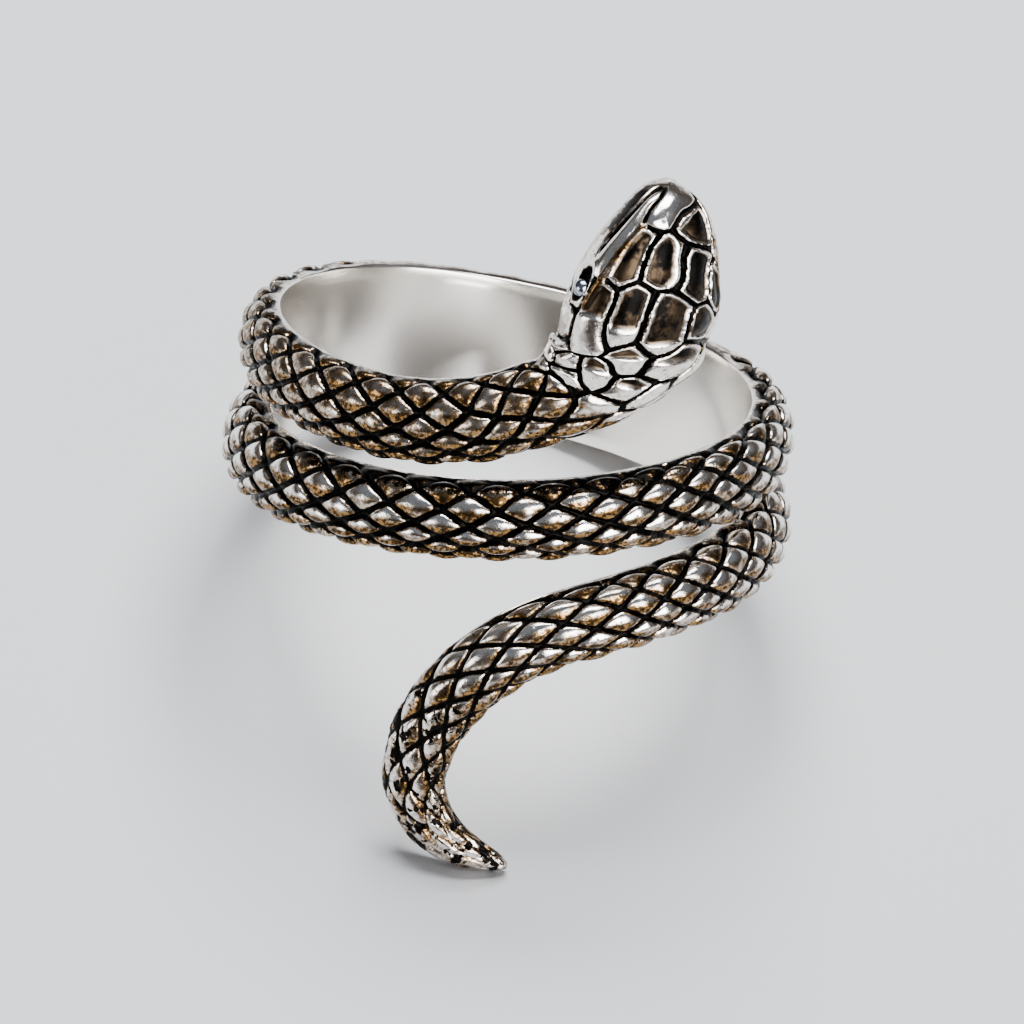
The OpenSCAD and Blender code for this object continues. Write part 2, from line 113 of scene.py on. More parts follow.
# Rows of scales across the band, and how far they slide toward one edge along it
SCALE_ROWS = [0, 0.17, 0.345, 0.485, 0.6, 0.7, 0.79, 0.885, 1]
ROW_SLIDE = [
    (0.058, 1.72), (0.07, 1.45), (0.077, 1.3), (0.083, 1.1), (0.09, 0.92), (0.14, 0.9),
    (0.17, 1), (0.4, 1.25), (0.43, 1.3), (0.443, 1.63), (0.46, 1.6), (0.48, 1.25), (0.5, 0.97),
    (0.56, 0.95), (0.83, 1), (0.86, 1.2), (0.89, 1.5), (0.95, 1.3),
]
# How deep the scales still are, because the tail is worn smooth
WEAR = [(0, 1), (0.88, 1), (0.925, 0.75), (0.955, 0.5), (0.985, 0.3), (0.995, 0.15), (1, 0)]
# Head plates: both ends of the middle line, how hollow the plate is, and how far back
PLATES = [
    (0.15, 0.3, 0.055, 0.43, 0, 2), (0.15, 0.6, 0.2, 0.6, 1, 2),
    (0.32, 0.445, 0.42, 0.455, 1, 2), (0.29, 0.275, 0.44, 0.29, 1, 2),
    (0.33, 0.58, 0.48, 0.6, 1, 2), (0.575, 0.385, 0.7, 0.37, 1, 0.71),
    (0.59, 0.515, 0.79, 0.525, 1, 0.79), (0.6, 0.235, 0.83, 0.235, 1, 0.67),
    (0.65, 0.67, 0.76, 0.68, 1, 2), (0.87, 0.425, 0.94, 0.462, 1, 0.87),
    (0.93, 0.555, 0.885, 0.65, 1, 0.89), (0.99, 0.35, 1.085, 0.405, 1, 1),
    (1.05, 0.52, 1.1, 0.545, 1, 1.06), (1.11, 0.26, 1.2, 0.32, 1, 1.12),
    (0.87, 0.06, 0.92, 0.12, 0, 2), (1.0, 0.2, 1.05, 0.23, 0, 2), (1.02, 0.04, 1.05, 0.06, 0, 2),
    (1.09, 0.7, 1.09, 0.71, 0, 2), (1.08, 0.87, 1.1, 0.87, 0, 2), (0.95, 0.8, 0.98, 0.8, 0, 2),
    (0.1, 0.13, 0.43, 0.135, 0, 2), (0.1, 0.82, 0.43, 0.855, 0, 2), (0.42, 0.75, 0.55, 0.77, 1, 2),
    (0.58, 0.08, 0.59, 0.08, 0, 2), (0.58, 0.92, 0.59, 0.92, 0, 2), (0.72, 0.86, 0.78, 0.85, 0, 2),
    (0.06, 0.02, 0.38, 0, 0, 2), (0.7, 0.03, 0.73, 0.03, 0.3, 2), (0.06, 0.98, 0.38, 1, 0, 2),
    (0.72, 0.97, 0.76, 0.97, 0.3, 2), (0.88, 0.96, 0.92, 0.96, 0.3, 2),
]
FAR = 99.0
EYE_PLACE = 0.584 * HEAD_L
EYE_ROUND = 0.08
EYE_SINK = 0.12
# The brow's ridge and the line of the mouth: place, way round from the nearer edge
BROW = [(0.23, 0.24), (0.31, 0.219), (0.384, 0.213), (0.476, 0.2), (0.546, 0.188), (0.64, 0.17)]
MOUTH = [(0.05, 0.095), (0.15, 0.076), (0.23, 0.064), (0.315, 0.058), (0.39, 0.035)]
# Past these heights the inside eases off the finger
FLARE = 0.1
FLARE_TOP = START_Z + 0.6 * BAND_W
FLARE_LOW = END_Z - 0.6 * BAND_W


def smooth(t):
    c = np.clip(t, 0, 1)
    return c * c * (3 - 2 * c)


def round_mm(turn):
    return np.radians(turn) * LAY_R


def draw_route(steps=16):
    """The snake's middle line laid flat: distance round, height, skew."""
    knots = np.array(
        [(round_mm(COIL_START) - b * HEAD_RISE, START_Z + u * HEAD_RISE, k) for b, u, k in NECK]
        + [(round_mm(turn), START_Z - fall * PITCH, 0) for turn, fall in COIL]
        + [(round_mm(COIL_END) + r * TAIL_DROP, END_Z - d * TAIL_DROP, 0) for r, d in TAIL]
    )
    ends = np.vstack([2 * knots[0] - knots[1], knots, 2 * knots[-1] - knots[-2]])
    t = (np.arange(steps) / steps)[:, None]
    parts = []
    for i in range(1, len(ends) - 2):
        a, b, c, d = ends[i - 1:i + 3]
        parts.append(0.5 * (2 * b + (c - a) * t + (2 * a - 5 * b + 4 * c - d) * t ** 2
                            + (3 * b - a - 3 * c + d) * t ** 3))
    return np.vstack(parts + [knots[-1:]])


route = draw_route()
run = np.concatenate([[0], np.cumsum(np.hypot(*np.diff(route[:, :2], axis=0).T))])
LENGTH = run[-1]
sections = np.array(
    [(p * HEAD_L, w * HEAD_W, t * HEAD_T, e * HEAD_T, a, u) for p, w, t, e, a, u in HEAD_SECTIONS]
    + [(p * LENGTH, w * BAND_W, t * BAND_T, e * EDGE_H, BODY_ACROSS, BODY_UP)
       for p, w, t, e in BODY_SECTIONS]
)
NAPE = SCALE_MARKS[0][1] * LENGTH


def read_column(table, place, column, reach=0.0):
    """A column of a table at each place, eased over the reach on both sides."""
    table = np.asarray(table, float)
    steps = (-1, -0.5, 0, 0.5, 1) if np.max(reach) > 0 else (0,)
    found = [np.interp(place + step * reach, table[:, 0], table[:, column]) for step in steps]
    return sum(found) / len(found)


class Station:
    """All that a section of the snake needs at each place along it."""

    def __init__(self, s, eased=1.0):
        self.s = s
        reach = eased * np.minimum(np.clip((s - 6) / 8, 0.12, 1) * 1.2, np.minimum(s, LENGTH - s))
        a, b = np.minimum(s + 0.2, LENGTH), np.maximum(s - 0.2, 0)
        du = np.interp(a, run, route[:, 0]) - np.interp(b, run, route[:, 0])
        dz = np.interp(a, run, route[:, 1]) - np.interp(b, run, route[:, 1])
        tu, tz = du / np.hypot(du, dz), dz / np.hypot(du, dz)
        skew = np.radians(np.interp(s, run, route[:, 2]))
        self.u = np.interp(s, run, route[:, 0])
        self.z = np.interp(s, run, route[:, 1])
        self.side_u = -tz * np.cos(skew) - tu * np.sin(skew)
        self.side_z = -tz * np.sin(skew) + tu * np.cos(skew)
        self.width, self.thick, self.edge, self.across, self.up = (
            read_column(sections, s, column, reach) for column in range(1, 6)
        )
        self.girth = 0.75 * self.width + 1.6 * (self.thick - self.edge)
        self.slide = read_column(ROW_SLIDE, s / LENGTH, 1)

    def over(self, x, h):
        """A point on the ring, from how far aside it lies and how high over the bore."""
        u, z = self.u + self.side_u * x, self.z + self.side_z * x
        turn = -math.pi / 2 - u / LAY_R
        return np.stack([(BORE_R + h) * np.cos(turn), (BORE_R + h) * np.sin(turn), z], -1)

    def skin(self, share, sink=0.0):
        """A point of the outside, from the upper edge of the band at 0 to the lower at 1."""
        c, n = np.cos(share * math.pi), np.abs(np.sin(share * math.pi))
        x = np.sign(c) * np.abs(c) ** self.across * self.width / 2
        h = self.edge + (self.thick - self.edge) * n ** self.up
        return self.over(x - sink * c, np.maximum(h - sink * n, 0.08))

    def inside(self, x):
        """A point of the smooth inside, eased off the finger past the coil."""
        z = self.z + self.side_z * x
        off = np.maximum((z - FLARE_TOP) / HEAD_RISE, (FLARE_LOW - z) / TAIL_DROP)
        return self.over(x, FLARE * np.maximum(off, 0))

    def foot(self, side):
        """How far aside the wall meets the inside."""
        x = self.width / 2 - CORNER * self.edge / (self.edge + STOCK)
        return side * np.maximum(x, self.width * 0.3)


def scale_rim(s, share, slide, girth):
    """For the body scales: distance in mm from the nearest groove, fullness, and how far
    each point lies toward the lower side of its scale."""
    count, mark = np.array(SCALE_MARKS).T
    i = np.interp(s / LENGTH, mark, count)
    i = np.where(s < NAPE, (s / LENGTH - mark[0]) / NAPE_PACE, i)
    rows = np.arange(len(SCALE_ROWS))
    even = share ** (1 / slide)
    j = np.interp(even, SCALE_ROWS, rows)
    step = 0.02
    di = (np.interp((s + step) / LENGTH, mark, count)
          - np.interp((s - step) / LENGTH, mark, count)) / (2 * step)
    di = np.where(di < 0.05, 1 / (NAPE_PACE * LENGTH), di)
    wide = np.interp(j + 0.25, rows, SCALE_ROWS) - np.interp(j - 0.25, rows, SCALE_ROWS)
    dj = 0.5 / np.maximum(wide * slide * np.maximum(even, 0.05) ** (slide - 1), 0.02) / girth
    slope = np.sqrt(di ** 2 + dj ** 2)
    p, q = (i + j) / 2, (i - j) / 2
    to_p = (1 - np.abs(p - np.floor(p) - 0.5) * 2) / slope
    to_q = (1 - np.abs(q - np.floor(q) - 0.5) * 2) / slope
    soft = 0.05
    rim = -soft * np.log(np.exp(-to_p / soft) + np.exp(-to_q / soft)) + soft * math.log(2) * 0.5
    over_p, over_q = 2 * p - 2 * np.floor(p) - 1, 2 * q - 2 * np.floor(q) - 1
    full = (1 - over_p ** 2) * (1 - over_q ** 2)
    return np.maximum(rim, 0), full, (over_p - over_q) / 2


def off_segment(wx, wy, vx, vy, least):
    """Distance from a short line of run v, of a point that lies w from its start."""
    t = np.clip((vx * wx + vy * wy) / np.maximum(vx ** 2 + vy ** 2, least), 0, 1)
    return np.hypot(wx - vx * t, wy - vy * t)


def plate_rim(s, share, girth):
    """Distance in mm from the nearest groove between head plates, and how hollow the plate is."""
    slide = read_column(ROW_SLIDE, SCALE_MARKS[0][1], 1)
    plates = [(a * HEAD_L, b, c * HEAD_L, d, e, f * HEAD_L) for a, b, c, d, e, f in PLATES]
    for j in range(1, 8, 2):
        plates.append((NAPE, SCALE_ROWS[j] ** slide, NAPE, SCALE_ROWS[j] ** slide, 0, FAR))
    near = np.full(s.shape, FAR)
    following = near.copy()
    hollow = near * 0
    for a, b, c, d, deep, back in plates:
        gap = off_segment(s - a, (share - b) * girth, c - a, (d - b) * girth, 1e-4)
        closer = gap < near
        following = np.where(closer, near, np.minimum(following, gap))
        hollow = np.where(closer, deep * smooth((back - s) / 0.3 + 0.5), hollow)
        near = np.minimum(near, gap)
    return (following - near) / 2, hollow


def to_line(s, share, girth, line):
    """Distance in mm from a line drawn on the head."""
    near = np.full(s.shape, FAR)
    for (a, b), (c, d) in zip(line, line[1:]):
        wx, wy = s - a * HEAD_L, (share - b) * girth
        near = np.minimum(near, off_segment(wx, wy, (c - a) * HEAD_L, (d - b) * girth, 1e-6))
    return near


def carve_head(s, share, girth):
    """What is cut or raised besides the plates, in mm, where it is left black, where the
    plates' grooves stay out, and where a gold sheen is painted along the brow ridge."""
    cut = s * 0 + share * 0
    black = cut.copy()
    calm = cut + 1
    painted_ridge_sheen = cut - 1
    for way in (share, 1 - share):
        ridge = to_line(s, way, girth, BROW)
        cut -= 0.06 * np.exp(-(ridge / 0.12) ** 2)
        calm = np.minimum(calm, smooth((ridge - 0.1) / 0.16))
        # Painted sheen: brown along the brow ridge, which shows gold beside the ridge's highlight.
        painted_ridge_sheen = np.maximum(painted_ridge_sheen, 0.53 * np.exp(-(ridge / 0.16) ** 2) - 0.23)
        lip_end = np.hypot((s / HEAD_L - 0.47) / 0.1, way / 0.09)
        calm = np.minimum(calm, smooth((lip_end - 0.7) / 0.5))
        mouth = to_line(s, way, girth, MOUTH)
        closing = 1 - smooth((s / HEAD_L - 0.28) / 0.12)
        cut += 0.12 * (1 - smooth(mouth / 0.2)) * closing
        jaw = 0.36 * (1 - smooth((way - 0.01) / 0.04)) * smooth((s - 0.3) / 0.4)
        lips = np.maximum(0.46 * (1 - smooth((mouth - 0.06) / 0.12)), jaw)
        black = np.maximum(black, lips * closing)
        along = (s - EYE_PLACE + 0.14) / 0.6
        aside = (way - EYE_ROUND) * girth / 0.46
        socket = np.hypot(along, aside)
        lip = 0.06 * np.exp(-((socket - 1.18) / 0.2) ** 2)
        cut += 0.3 * (1 - smooth((socket - 0.62) / 0.38)) - lip
        black = np.maximum(black, 1 - smooth((socket - 0.75) / 0.25))
        calm = np.minimum(calm, smooth((socket - 0.95) / 0.4))
    return cut, black, calm, painted_ridge_sheen


def lay_on_table(points):
    """From the ring's own axis to how it rests, leaning back on its tail."""
    x, y, z = points[..., 0], points[..., 1], points[..., 2]
    cb, sb = math.cos(LEAN_BACK), math.sin(LEAN_BACK)
    cl, sl = math.cos(LEAN_LEFT), math.sin(LEAN_LEFT)
    back_y, back_z = y * cb + z * sb, -y * sb + z * cb
    return np.stack([x * cl + back_z * sl, back_y, -x * sl + back_z * cl], -1)


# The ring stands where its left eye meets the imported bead
bead_low, bead_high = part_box("eye_left")
bead_middle = (np.array(bead_low) + np.array(bead_high)) * 500
socket_middle = Station(np.array([EYE_PLACE]), 0.0).skin(np.array([EYE_ROUND]), EYE_SINK)[0]
RING_MOVE = bead_middle - lay_on_table(socket_middle)


def to_metres(points):
    return (lay_on_table(points) + RING_MOVE) / 1000


# How far the scales stand proud of the solids' smooth skin, and how much more at the sides
PROUD, PROUD_ASIDE = 0.1, 0.16


def mark_skin(st, share):
    """What the grooves and the finish need to know at each point of the outside."""
    rim, full, low = scale_rim(st.s, share, st.slide, st.girth)
    hollow, cut = rim * 0, rim * 0
    kept = read_column(WEAR, st.s / LENGTH, 1)
    wear = kept * smooth(st.s / 0.5)
    to_edge = np.minimum(share, 1 - share) * st.girth
    turn = np.degrees(st.u / LAY_R)
    # Painted shade: darker on the second turn's upper rows under the first turn, on the first
    # turn's lower rows over the second, and along the band's upper edge away from the back.
    shade_under_first_turn = smooth((75 - np.abs(turn - 372)) / 35) * smooth((0.33 - share) / 0.18)
    shade_over_second_turn = smooth((100 - np.abs(turn - 40)) / 40) * smooth((share - 0.74) / 0.16)
    behind = smooth((64 - np.abs(turn - 188)) / 20)
    shade_top_edge = (1 - behind) * smooth((0.13 - share) / 0.08)
    black = 0.3 * np.maximum(np.maximum(shade_under_first_turn, shade_over_second_turn), 0.8 * shade_top_edge)
    black = black * smooth(st.s - HEAD_L)
    fade = wear * (0.75 + 0.25 * smooth(to_edge / 0.1))
    fade = fade * (1 - 0.95 * behind * smooth((0.24 - share) / 0.1))
    # Painted shade: the low side of each scale and the lower rows of the band are marked for brown
    # and black in the finish, where the metal turns away from the light.
    low = low + 0.9 * smooth((share - 0.5) / 0.4) - 0.22 * smooth((0.42 - share) / 0.2)
    low = low * wear - 0.1 * (1 - wear)
    if st.s[0, 0] < HEAD_L:
        head_rim, head_hollow = plate_rim(st.s + 0 * share, share, st.girth)
        body = smooth((st.s - NAPE + 0.15) / 0.5)
        rim = 1.6 * head_rim * (1 - body) + rim * body
        full = (1 - (1 - np.clip(head_rim / 0.5, 0, 1)) ** 2) * (1 - body) + full * body
        hollow = head_hollow * (1 - body)
        low = low * body - 0.45 * (1 - body)
        cut, head_black, calm, painted_ridge_sheen = carve_head(st.s, share, st.girth)
        low = np.maximum(low, painted_ridge_sheen * (1 - body))
        # The black field holds this painted shade and the oxide of the mouth and eye sockets.
        black = np.maximum(black, head_black)
        fade = fade * calm
    height = to_metres(st.skin(share))[..., 2] * 1000
    sideways = np.sin(np.radians(turn)) ** 2
    sideways = sideways * smooth((turn - 200) / 60) * smooth((760 - turn) / 60)
    proud = (PROUD + PROUD_ASIDE * sideways) * fade * smooth(to_edge / 0.5) * smooth(height / 1.2)
    return {"rim": rim, "full": full, "low_side_shade": low, "hollow": hollow, "fade": fade,
            "black": black, "worn": (1 - kept) + 0 * share, "carve": cut - proud}


def tube_quads(rows, count):
    """The faces between rows of points, each row closed on itself."""
    r, k = np.meshgrid(np.arange(rows - 1), np.arange(count), indexing="ij")
    k2 = (k + 1) % count
    corners = [r * count + k, (r + 1) * count + k, (r + 1) * count + k2, r * count + k2]
    return np.stack(corners, -1).reshape(-1, 4)


def closed_mesh(name, points, fields, ways):
    """A tube of rows of points, closed at both ends, with its fields kept as attributes."""
    rows, ring = points.shape[:2]
    ends = [to_metres(points[row].mean(0)[None]) for row in (0, -1)]
    verts = np.vstack([to_metres(points.reshape(-1, 3))] + ends)
    quads = tube_quads(rows, ring)
    k = np.arange(ring)
    k2, last = (k + 1) % ring, (rows - 1) * ring
    caps = np.concatenate([
        np.stack([k, k2, k * 0 + rows * ring], -1),
        np.stack([last + k2, last + k, k * 0 + rows * ring + 1], -1),
    ])
    corners = np.concatenate([quads.ravel(), caps.ravel()])
    starts = np.concatenate([np.arange(len(quads)) * 4, len(quads) * 4 + np.arange(len(caps)) * 3])
    mesh = bpy.data.meshes.new(name)
    mesh.vertices.add(len(verts))
    mesh.vertices.foreach_set("co", verts.astype(np.float32).ravel())
    mesh.loops.add(len(corners))
    mesh.loops.foreach_set("vertex_index", corners.astype(np.int32))
    mesh.polygons.add(len(starts))
    mesh.polygons.foreach_set("loop_start", starts.astype(np.int32))
    mesh.polygons.foreach_set("use_smooth", np.ones(len(starts), bool))
    mesh.update(calc_edges=True)
    for field, values in fields.items():
        layer = mesh.attributes.new(field, "FLOAT", "POINT")
        at_points = np.concatenate([values.ravel(), [0, 0]])
        layer.data.foreach_set("value", at_points.astype(np.float32))
    layer = mesh.attributes.new("way_out", "FLOAT_VECTOR", "POINT")
    at_points = np.vstack([ways.reshape(-1, 3), np.zeros((2, 3))])
    layer.data.foreach_set("vector", at_points.astype(np.float32).ravel())
    mesh.validate()
    piece = bpy.data.objects.new(name, mesh)
    bpy.context.scene.collection.objects.link(piece)
    return piece


# Where the wall turns into the inside
FOOT_IN, FOOT_UP = 0.012, 0.015
TURN_IN = 0.06


def snake_length(name, places, cells, wall_cells=4, inner_cells=6):
    """A closed length of the snake between two of its places, smooth as yet, with the
    marks of its skin and the way out kept at each point."""
    st = Station(places[:, None])
    share = np.linspace(0, 1, cells + 1)[None, :] + 0 * st.s
    outer = st.skin(share)
    marks = mark_skin(st, share)
    way = outer - st.skin(share, 0.05)

    def wall(side, shares_down):
        edge_x, foot_x = side * st.width / 2, st.foot(side)
        return [st.over(edge_x + (foot_x - edge_x) * t, st.edge * (1 - t)) for t in shares_down]

    down = [k / wall_cells for k in range(1, wall_cells)]
    lower_foot, upper_foot = st.foot(-1), st.foot(1)
    lower = wall(-1, down) + [st.over(lower_foot + FOOT_IN, 0 * st.s + FOOT_UP)]
    upper = [st.over(upper_foot - FOOT_IN, 0 * st.s + FOOT_UP)] + wall(1, down[::-1])
    across = upper_foot - lower_foot - 2 * TURN_IN
    inner = [st.inside(lower_foot + TURN_IN + across * k / inner_cells)
             for k in range(inner_cells + 1)]
    more = lower + inner + upper
    points = np.concatenate([outer] + [p.reshape(len(places), 1, 3) for p in more], 1)
    fall = [1 - t for t in down] + [0]
    fades = fall + [0] * len(inner) + fall[::-1]
    beside = [slice(-1, None)] * (len(lower) + len(inner)) + [slice(0, 1)] * len(upper)

    def spread(field):
        """A field of the skin carried down its two walls, and fading to nothing inside."""
        return np.concatenate([field] + [field[:, n] * f for n, f in zip(beside, fades)], 1)

    def ended(field, value):
        """A field of the skin, with one value on the walls and inside."""
        return np.concatenate([field, np.full((len(places), len(more)), value)], 1)

    rim = marks["rim"]
    inside = [0.0] * (cells + 1) + down + [1.0] * (len(inner) + 2) + [1 - t for t in down]
    fields = {
        "rim": np.concatenate([rim, np.repeat(rim[:, -1:], len(lower), 1),
                               np.full((len(places), len(inner)), 1.0),
                               np.repeat(rim[:, :1], len(upper), 1)], 1),
        "fade": spread(marks["fade"]),
        "hollow": ended(marks["hollow"], 0.0),
        "full": ended(marks["full"], 1.0),
        "low_side_shade": ended(marks["low_side_shade"], 0.0),
        "worn": spread(marks["worn"]),
        "carve": spread(marks["carve"]) / 1000,
        "black": spread(marks["black"]),
        "inside": np.repeat(np.array(inside)[None, :], len(places), 0),
    }
    ways = np.concatenate([way] + [way[:, -1:]] * len(lower) + [way[:, :1] * 0] * len(inner)
                          + [way[:, :1]] * len(upper), 1)
    size = np.maximum(np.linalg.norm(ways, axis=-1, keepdims=True), 1e-9)
    return closed_mesh(name, points, fields, lay_on_table(ways / size))


def plug_in(tree, kind, wires, **settings):
    """A node with its settings, and a value or a wire for each input named or numbered."""
    node = tree.nodes.new(kind)
    for key, value in settings.items():
        setattr(node, key, value)
    for key, value in wires.items():
        if isinstance(value, bpy.types.NodeSocket):
            tree.links.new(value, node.inputs[key])
        else:
            node.inputs[key].default_value = value
    return node


def raised_skin_tree():
    """Cuts the grooves between scales and plates into the smooth skin."""
    tree = bpy.data.node_groups.new("Cut the grooves", "GeometryNodeTree")
    face = tree.interface
    face.new_socket("Skin", in_out="INPUT", socket_type="NodeSocketGeometry")
    for label, start in [("Groove depth", 0.00015), ("Groove width", 0.17), ("Dome", 0.00016),
                         ("Hollow depth", 0.00014), ("Rim width", 0.17), ("Rim slope", 0.17),
                         ("Ragged", 0.1), ("Rough casting", 0.00001), ("Grain", 5200.0),
                         ("Blotch size", 1800.0), ("Blotch depth", 0.00005), ("Seed", 3.0)]:
        socket = face.new_socket(label, in_out="INPUT", socket_type="NodeSocketFloat")
        socket.default_value = start
    face.new_socket("Finish", in_out="INPUT", socket_type="NodeSocketMaterial")
    face.new_socket("Skin", in_out="OUTPUT", socket_type="NodeSocketGeometry")
    given = tree.nodes.new("NodeGroupInput").outputs

    def read(name, kind="FLOAT"):
        reader = plug_in(tree, "GeometryNodeInputNamedAttribute", {"Name": name}, data_type=kind)
        return reader.outputs[0]

    def keep(geometry, name, value):
        wires = {"Geometry": geometry, "Name": name, "Value": value}
        return plug_in(tree, "GeometryNodeStoreNamedAttribute", wires, data_type="FLOAT",
                       domain="POINT").outputs[0]

    def math_node(operation, *values):
        wires = dict(enumerate(values))
        return plug_in(tree, "ShaderNodeMath", wires, operation=operation).outputs[0]

    def ease(value, low, high, to_low=0.0, to_high=1.0):
        wires = {0: value, 1: low, 2: high, 3: to_low, 4: to_high}
        return plug_in(tree, "ShaderNodeMapRange", wires,
                       interpolation_type="SMOOTHSTEP").outputs[0]

    def noise(scale, detail, **wires):
        wires.update(Vector=place, W=given["Seed"], Scale=scale, Detail=detail)
        return plug_in(tree, "ShaderNodeTexNoise", wires, noise_dimensions="4D").outputs[0]

    place = tree.nodes.new("GeometryNodeInputPosition").outputs[0]
    loose = math_node("SUBTRACT", noise(given["Grain"], 2.0), 0.5)
    cloud = noise(given["Blotch size"], 3.0, Roughness=0.7)
    blotch = math_node("MULTIPLY", ease(cloud, 0.53, 0.57), ease(read("worn"), 0.2, 0.6))
    rim = math_node("MULTIPLY_ADD", loose, given["Ragged"], read("rim"))
    groove = ease(rim, 0.0, given["Groove width"], 1.0, 0.0)
    dome = math_node("SUBTRACT", 1.0, read("full"))
    rim_end = math_node("ADD", given["Rim width"], given["Rim slope"])
    inner = math_node("MULTIPLY", ease(rim, given["Rim width"], rim_end), read("hollow"))
    sink = math_node("MULTIPLY", groove, given["Groove depth"])
    sink = math_node("MULTIPLY_ADD", dome, given["Dome"], sink)
    sink = math_node("MULTIPLY_ADD", inner, given["Hollow depth"], sink)
    sink = math_node("MULTIPLY_ADD", math_node("ABSOLUTE", loose), given["Rough casting"], sink)
    sink = math_node("MULTIPLY_ADD", sink, read("fade"), read("carve"))
    sink = math_node("MULTIPLY_ADD", blotch, given["Blotch depth"], sink)
    push = plug_in(tree, "ShaderNodeVectorMath", {0: read("way_out", "FLOAT_VECTOR"),
                                                  "Scale": math_node("MULTIPLY", sink, -1.0)},
                   operation="SCALE").outputs[0]
    wires = {"Geometry": given["Skin"], "Offset": push}
    moved = plug_in(tree, "GeometryNodeSetPosition", wires).outputs[0]
    cut = math_node("MULTIPLY", groove, ease(read("fade"), 0.2, 0.7))
    # The black field brings its painted shade, with the oxide of the mouth and eye sockets, into
    # the black of the grooves.
    cut = math_node("MAXIMUM", math_node("MAXIMUM", cut, read("black")), blotch)
    kept = keep(keep(moved, "groove", cut), "sunken", inner)
    real = plug_in(tree, "GeometryNodeRealizeInstances", {"Geometry": kept}).outputs[0]
    wires = {"Geometry": real, "Material": given["Finish"]}
    done = plug_in(tree, "GeometryNodeSetMaterial", wires).outputs[0]
    plug_in(tree, "NodeGroupOutput", {0: done})
    return tree


cut_the_grooves = raised_skin_tree()


